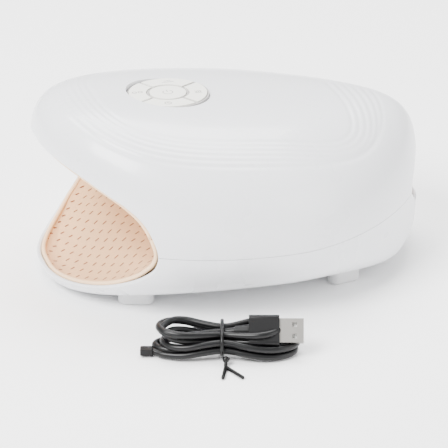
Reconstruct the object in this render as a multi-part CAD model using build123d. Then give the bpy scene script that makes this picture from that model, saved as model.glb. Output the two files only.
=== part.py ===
from build123d import *
import math
import os

# Hand massager: an egg-shaped pod with a hand tunnel through it, a five-key panel on the crown,
# an air pump and two valves that fill the air bags, a rechargeable pack and a tied charging cable.
# Frame: +X towards the rear opening, -X towards the mouth, +Z up, origin on the floor under the
# middle of the pod. Millimetres.

# ---- pod ----
LENGTH = 211.5
HALF_WIDTH = 90.5
WAIST_Z = 38.6            # height of the widest line, where the two shells meet
CROWN_RISE = 55.8         # crown above the waist line
BELLY_DROP = 30.1         # belly below the waist line
WALL = 2.5
SHELL_GAP = 0.2           # between the two shells at the parting line
FIT = 0.3                 # general clearance between neighbours
WIDEST_X = 8.4
CROWN_PEAK_X = -39.9
BELLY_PEAK_X = -18.2
WIDTH_POWERS = (2.33, 1.71)
CROWN_POWERS = (5.8, 3.7)
BELLY_POWERS = (5.87, 2.9)
WIDTH_TAPER = (0.0, -0.116, 0.0)
CROWN_TAPER = (-0.155, 0.097, 0.129)
BELLY_TAPER = (0.047, 0.509, 0.0)
UPPER_ROUNDNESS = (2.59, -0.76)   # section exponent at the middle, and its change towards the rear
LEAST_ROUNDNESS = 2.0
LOWER_ROUNDNESS = 3.12
REAR_SQUARENESS = 16.0   # the underside grows squarer towards the tail, as a fourth power
MOST_ROUNDNESS = 8.0
SECTION_POINTS = 36
SECTION_COUNT = 19
END_ANGLE = 86.0          # the end sections sit this far round from the middle

# ---- mouth and rear opening, side view: (distance from the end, height) ----
MOUTH_OUTLINE = ((-6, 84), (4.3, 78.8), (14.6, 73.8), (23, 68.8), (32.5, 62.7), (39.5, 55.5),
                 (43.7, 46.9), (45.7, 38.6), (44.2, 32), (39.2, 26.3), (30.7, 20), (21.3, 14.5),
                 (10, 10.5), (-6, 9))
REAR_OUTLINE = ((-6, 64), (2, 58), (8, 52), (12.5, 45), (13, 37), (9, 31), (2, 28.5), (-6, 28))
OUTLINE_REACH = 60        # how far the cuts run past the ends

# ---- hand tunnel: (distance behind the nose, floor, ceiling, room beside it) ----
TUNNEL_STATIONS = ((0, 3, 97, -8), (13, 5, 95, -8), (26, 8, 90, -6), (38, 13.5, 82, -3),
                   (48, 19.5, 75, 2.5), (58, 23, 69, 7), (84, 26, 63, 16), (115, 27.5, 59, 20), (150, 29, 56.5, 18),
                   (172, 29.5, 55, 13), (190, 30, 54, 6), (212, 30, 53, 2))
TUNNEL_ROUNDNESS = 3.0
FABRIC = 1.6
LINER_FIT = 0.9           # between the fabric and the shells
FILM = 0.6
FILM_HALF_WIDTH = 40
BAG = 5.0
BAG_HALF_WIDTH = 46
BAG_SPAN = (62, 170)      # behind the nose
FRAME = 2.0
FRAME_HALF_WIDTH = 52
FRAME_SPAN = (50, 170)

# ---- key panel ----
PANEL_X = -33.1
PANEL_RADIUS = 21.7
PANEL_DROP = 0.7          # panel face below the crown at its middle
PANEL_TURN = -15          # degrees, the segment keys' diagonals are turned this much
KEY_GAP = 1.8             # grey line between keys
KEY_FIT = 0.25
POWER_RADIUS = 9.6
KEY_RING = 1.2            # grey line between the keys and the rim
KEY_PROUD = 0.6
KEY_THICKNESS = 2.4
KEY_TRAVEL = 0.6
PANEL_DEPTH = 4.1
FLANGE = 1.8
FLANGE_THICKNESS = 1.2
MAT = 1.0
BOARD = 1.6
STEM_RADIUS = 2.0

# ---- pump, valves, boards ----
PUMP_X = 20.0             # rear end of the motor can
PUMP_Z = 79.8
MOTOR_RADIUS = 8.0
MOTOR_LENGTH = 22.0
HEAD_SIDE = 15.0
HEAD_LENGTH = 18.0
SHAFT_RADIUS = 1.0
SHAFT_RUNNING_FIT = 0.05
SHAFT_REACH = 12.0
ECCENTRIC_RADIUS = 3.8
ECCENTRIC_OFFSET = 0.8
ECCENTRIC_THICKNESS = 4.0
HEAD_BORE = 5.5
DIAPHRAGM = 1.5
VALVE_X = 4.0
VALVE_Y = 26.0
VALVE_Z = 76.5
VALVE_SIZE = (20.0, 11.0, 12.0)
PLUNGER_RADIUS = 2.0
PLUNGER_LENGTH = 9.0
PLUNGER_TRAVEL = 1.2
PLUNGER_FIT = 0.06
HOSE_RADIUS = 2.2
HOSE_BORE = 1.3
HOSE_BEND = 4.0
PALM_HOSE_RISE = 2.9      # the palm bag curls up this much where its hose joins
TEE_X = 50.0
MAIN_BOARD = (50.0, 36.0)
MAIN_BOARD_DROP = 13.0    # below the panel face
SCREW_RADIUS = 1.5
SCREW_HEAD_RADIUS = 2.8
SCREW_HEAD = 2.0
BOSS_RADIUS = 4.0
BOSS_X = (-34, 42)
BOSS_INSET = 5.0          # boss axis inside the shell's inner wall
BOSS_TOP = 24.0           # upper boss above the parting line
BOSS_LEDGE = 13.0         # screw head seat below the parting line
BATTERY = (44.0, 10.0, 24.0)
BATTERY_LOW = (-20.0, 72.4, 29.0)   # the pack's low corner, in the room beside the tunnel
FOAM = 0.8
FOAM_MARGIN = 4.0
BATTERY_ROUND = 2.5

# ---- charging port ----
PORT = (7.4, 9.0, 3.2)
PORT_Z = 20.0
PORT_WALL = 0.4
PORT_BACK = 1.0
PORT_TONGUE = 0.7
PORT_BOARD = (16.0, 14.0, 1.2)
PORT_BOARD_SETBACK = 1.0

# ---- feet: middle x, y, length, turn, in degrees, for the near side ----
FEET = {"front": (-63.4, -43.2, 18.6, -19.0), "rear": (48.4, -50.1, 17.4, 11.0)}
FOOT_WIDTH = 9.0
FOOT_SOLE_ROUND = 1.0

# ---- charging cable, lying in front ----
HANK_X = -36.0
HANK_Y = -111.0
HANK_TURN = -17.4         # degrees, its long axis against +X
CORD_RADIUS = 1.8
HANK_STATIONS = ((-35.5, 9, 1.0, 11), (-32.5, 13, 0.4, 14.5), (-25, 16, 0.4, 16.5), (-12, 13.6, 1.2, 15),
                 (-1.5, 10.6, 2.4, 13.8), (10, 13.6, 1.2, 14.4), (23, 16, 0.4, 14.2), (33, 13, 0.4, 12),
                 (38, 8.5, 1.0, 9.5))   # along the hank, half width, underside, top
HANK_ROUNDNESS = 2.4
PLUG_LEAN = 55.0          # degrees, the flat of the plug leans back from the floor
PLUG_S = 11.7             # where the strain relief meets the grip, along the hank
PLUG_Y = -3.0
PLUG_Z = 13.6
PLUG_GRIP = (15.0, 15.5, 7.4)
PLUG_METAL = (12.0, 12.0, 4.5)
PLUG_METAL_WALL = 0.4
PLUG_ROUND = 2.0
WINDOW = 2.2              # the two square windows in the plug's metal
WINDOW_X = 7.5
WINDOW_Y = 2.9
INSERT = (9.6, 10.8, 1.7)
INSERT_Z = -0.9
RELIEF_LENGTH = 7.0
RELIEF_RADII = (2.4, 3.2)
TIE_RADIUS = 0.9
TIE_FIT = 0.35
TIE_KNOT = (0.4, -13.6, 3.2)
TIE_KNOT_RADIUS = 1.7
TIE_BEND = (0.4, -17.5, 1.1)      # where the two tails meet the floor
TIE_TAILS = ((-0.9, -28.5, 1.0), (8.7, -28.0, 1.0))
END_PLUG = (6.5, 5.0, 3.6)
END_PLUG_Y = -4.0

NOSE_X = -LENGTH / 2
TAIL_X = LENGTH / 2
HALF_LENGTH = LENGTH / 2

os.makedirs("parts", exist_ok=True)


def save(name, shape):
    """Write one node as STEP."""
    export_step(shape, "parts/" + name + ".step")


def block(low, high):
    """Box between two corners."""
    size = [b - a for a, b in zip(low, high)]
    middle = [(a + b) / 2 for a, b in zip(low, high)]
    return Pos(*middle) * Box(*size)


def rod(start, direction, radius, length):
    """Cylinder that starts at a point and runs along a direction."""
    plane = Plane(origin=start, z_dir=direction)
    return extrude(plane * Circle(radius), length)


def both_sides(shape):
    """The shape and its mirror image across the middle plane."""
    return shape + mirror(shape, about=Plane.XZ)


def swell(x, front_end, rear_end, peak, powers):
    """Superellipse outline: 0 at either end, 1 at the peak."""
    if x < peak:
        share = (peak - x) / (peak - front_end)
        power = powers[0]
    else:
        share = (x - peak) / (rear_end - peak)
        power = powers[1]
    return max(1 - share ** power, 0.0) ** (1 / power)


def taper(x, terms):
    """Gentle change of a height or width along the pod, 1 at the middle."""
    share = x / HALF_LENGTH
    return 1 + sum(term * share ** (order + 1) for order, term in enumerate(terms))


def pod_size(x, inset=0.0):
    """Half width, crown height, belly height and the two section exponents of the pod at x."""
    front = NOSE_X + inset
    rear = TAIL_X - inset
    wide = HALF_WIDTH * taper(x, WIDTH_TAPER) - inset
    rise = CROWN_RISE * taper(x, CROWN_TAPER) - inset
    drop = BELLY_DROP * taper(x, BELLY_TAPER) - inset
    wide *= swell(x, front, rear, WIDEST_X, WIDTH_POWERS)
    rise *= swell(x, front, rear, CROWN_PEAK_X, CROWN_POWERS)
    drop *= swell(x, front, rear, BELLY_PEAK_X, BELLY_POWERS)
    roundness = max(UPPER_ROUNDNESS[0] + UPPER_ROUNDNESS[1] * x / HALF_LENGTH, LEAST_ROUNDNESS)
    squareness = REAR_SQUARENESS * max(x / HALF_LENGTH, 0) ** 4
    lower = min(LOWER_ROUNDNESS + squareness, MOST_ROUNDNESS)
    return wide, WAIST_Z + rise, WAIST_Z - drop, roundness, lower


def oval(half_width, rise, drop, upper, lower):
    """Points of a closed superellipse about its waist line."""
    points = []
    for step in range(SECTION_POINTS):
        angle = 2 * math.pi * (step + 0.5) / SECTION_POINTS
        across = math.cos(angle)
        along = math.sin(angle)
        power = upper if along > 0 else lower
        height = rise if along > 0 else drop
        y = half_width * math.copysign(abs(across) ** (2 / power), across)
        z = height * math.copysign(abs(along) ** (2 / power), along)
        points.append((y, z))
    return points


def ring_face(points):
    """Face inside a closed smooth curve; every ring has the same spacing along its curve."""
    spacing = [step / len(points) for step in range(len(points) + 1)]
    vectors = [Vector(*point) for point in points]
    return make_face(Edge.make_spline(vectors, periodic=True, parameters=spacing))


def pod(inset=0.0):
    """The pod's closed volume, drawn in by an even inset."""
    faces = []
    for step in range(SECTION_COUNT):
        angle = math.radians(END_ANGLE) * (2 * step / (SECTION_COUNT - 1) - 1)
        x = (HALF_LENGTH - inset) * math.sin(angle)
        wide, top, bottom, upper, lower = pod_size(x, inset)
        outline = oval(wide, top - WAIST_Z, WAIST_Z - bottom, upper, lower)
        points = [(x, y, WAIST_Z + z) for y, z in outline]
        faces.append(ring_face(points))
    return loft(faces)


def tunnel_shape(x):
    """Floor height, ceiling height and half width of the hand tunnel at x."""
    distance = x - NOSE_X
    for before, after in zip(TUNNEL_STATIONS, TUNNEL_STATIONS[1:]):
        if distance <= after[0]:
            break
    share = (distance - before[0]) / (after[0] - before[0])
    floor, ceiling, beside = [a + share * (b - a) for a, b in zip(before[1:], after[1:])]
    return floor, ceiling, pod_size(x, WALL)[0] - beside


def tunnel(growth, inset):
    """The hand tunnel's volume, grown by an even amount but kept inside the inset pod."""
    faces = []
    for step in range(SECTION_COUNT):
        angle = math.radians(END_ANGLE) * (2 * step / (SECTION_COUNT - 1) - 1)
        x = (HALF_LENGTH - inset) * math.sin(angle)
        floor, ceiling, wide = tunnel_shape(x)
        middle = (floor + ceiling) / 2
        tall = (ceiling - floor) / 2 + growth
        limit = pod_size(x, inset)
        points = []
        for y, z in oval(wide + growth, tall, tall, TUNNEL_ROUNDNESS, TUNNEL_ROUNDNESS):
            points.append((x, *keep_inside(y, middle + z, limit)))
        faces.append(ring_face(points))
    return loft(faces)


def keep_inside(y, z, limit):
    """Pull a section point back onto the pod's section when it lies outside it."""
    wide, top, bottom, upper, lower = limit
    above = z > WAIST_Z
    power = upper if above else lower
    height = top - WAIST_Z if above else WAIST_Z - bottom
    reach = (abs(y) / wide) ** power + (abs(z - WAIST_Z) / height) ** power
    pull = min(reach ** (-1 / power), 1)
    return y * pull, WAIST_Z + (z - WAIST_Z) * pull


def side_cut(outline, end_x, sense):
    """Prism across the pod, from a side-view outline measured from one end."""
    curve = Spline(*[(end_x - sense * d, 0, z) for d, z in outline])
    reach = end_x + sense * OUTLINE_REACH
    corners = [curve @ 1, (reach, 0, outline[-1][1]), (reach, 0, outline[0][1]), curve @ 0]
    face = make_face(curve + Polyline(*corners))
    return extrude(face, HALF_WIDTH * 1.5, both=True)


def crown(x, y=0.0):
    """Height of the pod's top surface."""
    wide, top, _, power, _ = pod_size(x)
    return WAIST_Z + (top - WAIST_Z) * max(1 - (abs(y) / wide) ** power, 0) ** (1 / power)


def belly(x, y=0.0):
    """Height of the pod's underside."""
    wide, _, bottom, _, power = pod_size(x)
    return WAIST_Z - (WAIST_Z - bottom) * max(1 - (abs(y) / wide) ** power, 0) ** (1 / power)


def rear_skirt_x(z):
    """Where the middle line of the rear skirt reaches a height, found by halving."""
    near, far = TAIL_X / 2, TAIL_X
    for _ in range(20):
        middle = (near + far) / 2
        if belly(middle) < z:
            near = middle
        else:
            far = middle
    return near


PANEL_Z = crown(PANEL_X) - PANEL_DROP
BIG = LENGTH * 2
above_seam = block((-BIG, -BIG, WAIST_Z + SHELL_GAP / 2), (BIG, BIG, BIG))
below_seam = block((-BIG, -BIG, -BIG), (BIG, BIG, WAIST_Z - SHELL_GAP / 2))
mouth_cut = side_cut(MOUTH_OUTLINE, NOSE_X, -1)
rear_cut = side_cut(REAR_OUTLINE, TAIL_X, 1)
outside = pod()
inside = pod(WALL)
FRAME_GROWTH = FABRIC + FILM + BAG + 4 * FIT

# ---- shells ----
casing = outside - inside - mouth_cut - rear_cut


def boss_places():
    """Plan places of the near-side bosses, tucked against the shell's wall."""
    return [(x, pod_size(x)[0] - WALL - BOSS_INSET) for x in BOSS_X]


def bosses(reach_down, reach_up, radius):
    """Screw columns at the four boss places, between two heights."""
    group = Part()
    for x, y in boss_places():
        column = rod((x, y, reach_down), (0, 0, 1), radius, reach_up - reach_down)
        group += both_sides(column)
    return group


def screw_seat_z():
    """Height of the ledge that the screw heads pull against."""
    return WAIST_Z - BOSS_LEDGE


mid_wall = pod(WALL / 2)
upper_boss = bosses(WAIST_Z, WAIST_Z + BOSS_TOP, BOSS_RADIUS) & mid_wall
lower_boss = bosses(0, WAIST_Z, BOSS_RADIUS) & mid_wall
thread_hole = bosses(WAIST_Z - 1, WAIST_Z + BOSS_TOP - 2, SCREW_RADIUS)
free_hole = bosses(0, WAIST_Z + 1, SCREW_RADIUS + FIT)
head_hole = bosses(-5, screw_seat_z(), SCREW_HEAD_RADIUS + FIT)
panel_hole = rod((PANEL_X, 0, WAIST_Z + CROWN_RISE / 2), (0, 0, 1), PANEL_RADIUS + FIT, CROWN_RISE)
port_hole = block((TAIL_X - 40, -PORT[1] / 2 - FIT, PORT_Z - PORT[2] / 2 - FIT),
                  (TAIL_X + 5, PORT[1] / 2 + FIT, PORT_Z + PORT[2] / 2 + FIT))

upper_shell = (casing & above_seam) + (upper_boss & above_seam)
upper_shell = upper_shell - thread_hole - panel_hole
lower_shell = (casing & below_seam) + (lower_boss & below_seam)
lower_shell = lower_shell - free_hole - head_hole - port_hole
save("upper_shell", upper_shell)
save("lower_shell", lower_shell)

# ---- case screws, driven from below ----
screws = Part()
for x, y in boss_places():
    seat = screw_seat_z()
    shank = rod((x, y, seat), (0, 0, 1), SCREW_RADIUS, WAIST_Z + BOSS_TOP - 6 - seat)
    head = rod((x, y, seat), (0, 0, -1), SCREW_HEAD_RADIUS, SCREW_HEAD)
    slot = block((x - SCREW_HEAD_RADIUS, y - 0.4, seat - SCREW_HEAD - 1),
                 (x + SCREW_HEAD_RADIUS, y + 0.4, seat - SCREW_HEAD + 0.7))
    screws += both_sides(shank + head - slot)
save("case_screws", screws)

# ---- feet ----
for name, (x, y, length, turn) in FEET.items():
    profile = Pos(x, y) * Rot(0, 0, turn) * SlotOverall(length, FOOT_WIDTH)
    column = extrude(profile, WAIST_Z / 2)
    column = chamfer(column.edges().group_by(Axis.Z)[0], FOOT_SOLE_ROUND)
    foot = column - outside
    foot = foot.solids().sort_by(Axis.Z)[0]
    save(name + "_left_foot", foot)
    save(name + "_right_foot", mirror(foot, about=Plane.XZ))

# ---- tunnel lining: one fabric panel below the hand and one above ----
bore = tunnel(0, WALL + LINER_FIT + FABRIC)
sleeve = tunnel(FABRIC, WALL + LINER_FIT) - bore - mouth_cut - rear_cut
save("palm_fabric", sleeve & below_seam)
save("back_fabric", sleeve & above_seam)


def band(inner, outer, span, half_width):
    """Layer around the tunnel between two growths, cut to a length and a width."""
    layer = tunnel(outer, WALL + FIT) - tunnel(inner, WALL + FIT + outer - inner)
    low = (NOSE_X + span[0], -half_width, -BIG)
    high = (NOSE_X + span[1], half_width, BIG)
    return layer & block(low, high)


# ---- heating film, air bags and the plates that back them ----
film_start = FABRIC + FIT
bag_start = film_start + FILM + FIT
film = band(film_start, film_start + FILM, BAG_SPAN, FILM_HALF_WIDTH)
save("heating_film", film & below_seam)
bags = band(bag_start, bag_start + BAG, BAG_SPAN, BAG_HALF_WIDTH)
save("palm_air_bag", bags & below_seam)
save("back_air_bag", bags & above_seam)
frames = band(FRAME_GROWTH, FRAME_GROWTH + FRAME, FRAME_SPAN, FRAME_HALF_WIDTH)
frame_outer = tunnel(FRAME_GROWTH + FRAME, WALL + FIT)

# ---- main board on four columns of the duct ----
board_z = PANEL_Z - MAIN_BOARD_DROP
columns = Part()
board_holes = Part()
board_screws = Part()
for dx in (-1, 1):
    x = PANEL_X + dx * (MAIN_BOARD[0] / 2 - 4)
    y = MAIN_BOARD[1] / 2 - 4
    columns += both_sides(rod((x, y, WAIST_Z + 20), (0, 0, 1), 2.6, board_z - WAIST_Z - 20))
    board_holes += both_sides(rod((x, y, board_z - 6), (0, 0, 1), 1.0, 12))
    screw = rod((x, y, board_z + BOARD), (0, 0, -1), 1.0, 6)
    screw += rod((x, y, board_z + BOARD), (0, 0, 1), 1.9, 1.4)
    board_screws += both_sides(screw)
upper_frame = (frames & above_seam) + (columns - frame_outer) - board_holes
save("upper_frame", upper_frame)
save("lower_frame", frames & below_seam)
save("board_screws", board_screws)

main_board = block((PANEL_X - MAIN_BOARD[0] / 2, -MAIN_BOARD[1] / 2, board_z),
                   (PANEL_X + MAIN_BOARD[0] / 2, MAIN_BOARD[1] / 2, board_z + BOARD))
chips = ((-12, 0, 10, 10, 1.4), (8, 6, 7, 5, 1.6), (10, -8, 8, 6, 3.0), (-2, -10, 5, 5, 2.0))
for dx, y, size_x, size_y, height in chips:
    main_board += block((PANEL_X + dx - size_x / 2, y - size_y / 2, board_z + BOARD / 2),
                        (PANEL_X + dx + size_x / 2, y + size_y / 2, board_z + BOARD + height))
save("main_board", main_board - board_holes)

# ---- key panel: base, five keys, silicone mat and control board ----
SEGMENT_INNER = POWER_RADIUS + KEY_GAP
SEGMENT_OUTER = PANEL_RADIUS - KEY_RING
STEM_PLACE = (SEGMENT_INNER + SEGMENT_OUTER) / 2


def segment_outline(turn, shrink):
    """Plan of one ring-segment key, centred on a direction, drawn in by a clearance."""
    ring = Circle(SEGMENT_OUTER - shrink) - Circle(SEGMENT_INNER + shrink)
    half_gap = KEY_GAP / 2 + shrink
    for sense in (-1, 1):
        beyond = Pos(0, sense * (BIG / 2 - half_gap)) * Rectangle(BIG, BIG)
        ring = ring - Rot(0, 0, turn + sense * 45) * beyond
    keep = Rot(0, 0, turn) * Pos(BIG / 2, 0) * Rectangle(BIG, BIG)
    return ring & keep


def key_solid(plan, stem_at):
    """Key cap with a round stem that reaches down to the mat."""
    cap_top = PANEL_Z + KEY_PROUD
    cap = Pos(PANEL_X, 0, cap_top - KEY_THICKNESS) * extrude(plan, KEY_THICKNESS)
    stem_top = cap_top - KEY_THICKNESS
    foot_z = PANEL_Z - PANEL_DEPTH - FIT
    stem = rod((PANEL_X + stem_at[0], stem_at[1], foot_z), (0, 0, 1), STEM_RADIUS, stem_top - foot_z)
    return cap + stem


SEGMENT_KEYS = {"heat_key": 0, "mode_key": 90, "strength_key": 180, "timer_key": 270}
panel_base = rod((PANEL_X, 0, PANEL_Z - PANEL_DEPTH), (0, 0, 1), PANEL_RADIUS, PANEL_DEPTH)
panel_base += rod((PANEL_X, 0, PANEL_Z - PANEL_DEPTH - FLANGE_THICKNESS), (0, 0, 1),
                  PANEL_RADIUS + FLANGE, FLANGE_THICKNESS)
panel_base -= rod((PANEL_X, 0, PANEL_Z - PANEL_DEPTH - FLANGE_THICKNESS), (0, 0, 1),
                  PANEL_RADIUS - 1, FLANGE_THICKNESS)
pocket_floor = PANEL_Z + KEY_PROUD - KEY_THICKNESS - KEY_TRAVEL - KEY_FIT
pocket_depth = PANEL_Z - pocket_floor
power_pocket = Circle(POWER_RADIUS + KEY_FIT)
panel_base -= Pos(PANEL_X, 0, pocket_floor) * extrude(power_pocket, pocket_depth)
panel_base -= rod((PANEL_X, 0, PANEL_Z - PANEL_DEPTH), (0, 0, 1), STEM_RADIUS + KEY_FIT, PANEL_DEPTH)
save("power_key", key_solid(Circle(POWER_RADIUS), (0, 0)))
for name, direction in SEGMENT_KEYS.items():
    turn = direction + PANEL_TURN
    place = (STEM_PLACE * math.cos(math.radians(turn)), STEM_PLACE * math.sin(math.radians(turn)))
    save(name, key_solid(segment_outline(turn, 0), place))
    pocket = segment_outline(turn, -KEY_FIT)
    panel_base -= Pos(PANEL_X, 0, pocket_floor) * extrude(pocket, pocket_depth)
    hole_at = (PANEL_X + place[0], place[1], PANEL_Z - PANEL_DEPTH)
    panel_base -= rod(hole_at, (0, 0, 1), STEM_RADIUS + KEY_FIT, PANEL_DEPTH)
save("panel_base", panel_base)
mat_top = PANEL_Z - PANEL_DEPTH - FIT - KEY_TRAVEL - FIT
key_mat = rod((PANEL_X, 0, mat_top - MAT), (0, 0, 1), PANEL_RADIUS - 1.5, MAT)
save("key_mat", key_mat)
control_board = rod((PANEL_X, 0, mat_top - MAT - BOARD), (0, 0, 1), PANEL_RADIUS + FLANGE, BOARD)
save("control_board", control_board)

# ---- air pump ----
can_front = PUMP_X - MOTOR_LENGTH
motor = rod((can_front, 0, PUMP_Z), (1, 0, 0), MOTOR_RADIUS, MOTOR_LENGTH)
motor -= rod((PUMP_X - 8, 0, PUMP_Z), (1, 0, 0), SHAFT_RADIUS + SHAFT_RUNNING_FIT, 8)
save("pump_motor", motor)
head_start = PUMP_X + FIT
head = block((head_start, -HEAD_SIDE / 2, PUMP_Z - HEAD_SIDE / 2),
             (head_start + HEAD_LENGTH, HEAD_SIDE / 2, PUMP_Z + HEAD_SIDE / 2))
head = chamfer(head.edges().filter_by(Axis.X), 2.0)
head -= rod((head_start, 0, PUMP_Z), (1, 0, 0), HEAD_BORE, HEAD_LENGTH - 4)
nipple = rod((head_start + HEAD_LENGTH, 0, PUMP_Z), (1, 0, 0), HOSE_BORE, 4)
head += nipple
save("pump_head", head)
shaft = rod((PUMP_X - 6, 0, PUMP_Z), (1, 0, 0), SHAFT_RADIUS, SHAFT_REACH)
eccentric = rod((PUMP_X + 2, ECCENTRIC_OFFSET, PUMP_Z), (1, 0, 0), ECCENTRIC_RADIUS, ECCENTRIC_THICKNESS)
save("pump_eccentric", shaft + eccentric)
diaphragm_x = head_start + HEAD_LENGTH - 4 - DIAPHRAGM
diaphragm = rod((diaphragm_x, 0, PUMP_Z), (1, 0, 0), HEAD_BORE, DIAPHRAGM)
save("pump_diaphragm", diaphragm)

# ---- valves, each with a sliding plunger in a stepped bore ----
for name, sense in (("palm", -1), ("back", 1)):
    y = sense * VALVE_Y
    low = (VALVE_X, y - VALVE_SIZE[1] / 2, VALVE_Z - VALVE_SIZE[2] / 2)
    high = (VALVE_X + VALVE_SIZE[0], y + VALVE_SIZE[1] / 2, VALVE_Z + VALVE_SIZE[2] / 2)
    start = VALVE_X + 4
    body = block(low, high)
    body -= rod((start, y, VALVE_Z), (1, 0, 0), PLUNGER_RADIUS + PLUNGER_FIT,
                PLUNGER_LENGTH + PLUNGER_TRAVEL + 2 * FIT)
    body += rod((high[0], y, VALVE_Z), (1, 0, 0), HOSE_BORE, 4)
    body += rod((low[0], y, VALVE_Z), (-1, 0, 0), HOSE_BORE, 4)
    save(name + "_valve", body)
    plunger = rod((start + FIT, y, VALVE_Z), (1, 0, 0), PLUNGER_RADIUS, PLUNGER_LENGTH)
    save(name + "_valve_plunger", plunger)

# ---- tee and hoses ----
tee = rod((TEE_X - 4, 0, PUMP_Z), (1, 0, 0), HOSE_BORE, 8)
tee += rod((TEE_X, -7, PUMP_Z), (0, 1, 0), HOSE_RADIUS, 14)
tee += rod((TEE_X, -11, PUMP_Z), (0, 1, 0), HOSE_BORE, 22)
save("hose_tee", tee)


def hose(points):
    """Tube through the points, with even bends."""
    path = FilletPolyline(*points, radius=HOSE_BEND)
    start = Plane(origin=path @ 0, z_dir=path % 0)
    return sweep(start * (Circle(HOSE_RADIUS) - Circle(HOSE_BORE)), path=path)


pump_hose = rod((head_start + HEAD_LENGTH, 0, PUMP_Z), (1, 0, 0), HOSE_RADIUS, 100)
pump_hose -= rod((head_start + HEAD_LENGTH, 0, PUMP_Z), (1, 0, 0), HOSE_BORE, 100)
pump_hose = pump_hose & block((0, -10, 0), (TEE_X - HOSE_RADIUS - FIT, 10, BIG))
hoses = pump_hose
valve_rear = VALVE_X + VALVE_SIZE[0]
for sense in (-1, 1):
    feed = [(TEE_X, sense * 7, PUMP_Z), (TEE_X, sense * VALVE_Y, PUMP_Z),
            (TEE_X - 10, sense * VALVE_Y, VALVE_Z), (valve_rear, sense * VALVE_Y, VALVE_Z)]
    hoses += hose(feed)
save("feed_hoses", hoses)

# ---- bag hoses: one drops to the frame over the back bag, one runs down the side to the palm bag ----
bag_x = VALVE_X - 14
valve_front = VALVE_X
frame_top = tunnel_shape(bag_x)[1] + FRAME_GROWTH + FRAME
drop = [(valve_front, VALVE_Y, VALVE_Z), (bag_x, VALVE_Y, VALVE_Z), (bag_x, VALVE_Y, frame_top)]
save("back_bag_hose", hose(drop))
side_y = -(tunnel_shape(bag_x)[2] + FABRIC + HOSE_RADIUS + 2)
bag_z = tunnel_shape(bag_x)[0] - bag_start - BAG / 2 + PALM_HOSE_RISE
run = [(valve_front, -VALVE_Y, VALVE_Z), (bag_x, -VALVE_Y, VALVE_Z), (bag_x, side_y + 12, VALVE_Z - 4),
       (bag_x, side_y, VALVE_Z - 22), (bag_x, side_y + 1, bag_z + 6), (bag_x, side_y + 12, bag_z),
       (bag_x, -BAG_HALF_WIDTH - FIT, bag_z)]
save("palm_bag_hose", hose(run))

# ---- battery pack beside the tunnel, on a foam pad against the shell ----
battery_high = [low + size for low, size in zip(BATTERY_LOW, BATTERY)]
pack = block(BATTERY_LOW, battery_high)
pack = fillet(pack.edges().filter_by(Axis.X), BATTERY_ROUND)
save("battery_pack", pack)
foam_low = (BATTERY_LOW[0] + FOAM_MARGIN, battery_high[1], BATTERY_LOW[2] + FOAM_MARGIN)
foam_high = (battery_high[0] - FOAM_MARGIN, battery_high[1] + FOAM, battery_high[2] - FOAM_MARGIN)
save("battery_foam", block(foam_low, foam_high))

# ---- charging port and its board behind the rear skirt ----
port_x = rear_skirt_x(PORT_Z) - WALL
port = block((port_x - PORT[0], -PORT[1] / 2, PORT_Z - PORT[2] / 2),
             (port_x, PORT[1] / 2, PORT_Z + PORT[2] / 2))
port_back = port_x - PORT[0] + PORT_BACK
port -= block((port_back, PORT_WALL - PORT[1] / 2, PORT_Z + PORT_WALL - PORT[2] / 2),
              (port_x, PORT[1] / 2 - PORT_WALL, PORT_Z + PORT[2] / 2 - PORT_WALL))
tongue_half = PORT[1] / 2 - PORT_WALL - 1
tongue = block((port_back, -tongue_half, PORT_Z - PORT_TONGUE / 2),
               (port_x - 1, tongue_half, PORT_Z + PORT_TONGUE / 2))
save("charge_port", port + tongue)
board_floor = PORT_Z + PORT[2] / 2
board_rear = port_x - PORT_BOARD_SETBACK
charge_board = block((board_rear - PORT_BOARD[0], -PORT_BOARD[1] / 2, board_floor),
                     (board_rear, PORT_BOARD[1] / 2, board_floor + PORT_BOARD[2]))
save("charge_board", charge_board)

# ---- charging cable: a hank with a waist, the plug on it and the tie round it ----
hank_frame = Pos(HANK_X, HANK_Y, 0) * Rot(0, 0, HANK_TURN)


def hank():
    """Closed outer shape of the folded and tied cord."""
    faces = []
    for along, half_wide, underside, top in HANK_STATIONS:
        half_tall = (top - underside) / 2
        outline = oval(half_wide, half_tall, half_tall, HANK_ROUNDNESS, HANK_ROUNDNESS)
        faces.append(ring_face([(along, y, underside + half_tall + z) for y, z in outline]))
    return loft(faces)


def wire(start, end):
    """Straight length of tie wire with round ends."""
    run = Vector(*end) - Vector(*start)
    straight = rod(start, run, TIE_RADIUS, run.length)
    return straight + Pos(*start) * Sphere(TIE_RADIUS) + Pos(*end) * Sphere(TIE_RADIUS)


plug_frame = Pos(PLUG_S, PLUG_Y, PLUG_Z) * Rot(PLUG_LEAN, 0, 0)
grip = Pos(PLUG_GRIP[0] / 2, 0, 0) * Box(*PLUG_GRIP)
grip = fillet(grip.edges().filter_by(Axis.X), PLUG_ROUND)
metal = Pos(PLUG_GRIP[0] + PLUG_METAL[0] / 2, 0, 0) * Box(*PLUG_METAL)
hollow = Pos(PLUG_GRIP[0] + PLUG_METAL[0] / 2 + 1, 0, 0)
inner_wide = PLUG_METAL[1] - 2 * PLUG_METAL_WALL
inner_tall = PLUG_METAL[2] - 2 * PLUG_METAL_WALL
metal -= hollow * Box(PLUG_METAL[0], inner_wide, inner_tall)
for side in (-1, 1):
    window_at = Pos(PLUG_GRIP[0] + WINDOW_X, side * WINDOW_Y, PLUG_METAL[2] / 2)
    metal -= window_at * Box(WINDOW, WINDOW, PLUG_METAL[2] / 2)
insert_at = Pos(PLUG_GRIP[0] + 1 + INSERT[0] / 2, 0, INSERT_Z)
insert = insert_at * Box(*INSERT)
relief_align = (Align.CENTER, Align.CENTER, Align.MIN)
relief = Cone(RELIEF_RADII[0], RELIEF_RADII[1], RELIEF_LENGTH, align=relief_align)
relief = Pos(-RELIEF_LENGTH, 0, 0) * Rot(0, 90, 0) * relief
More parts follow.
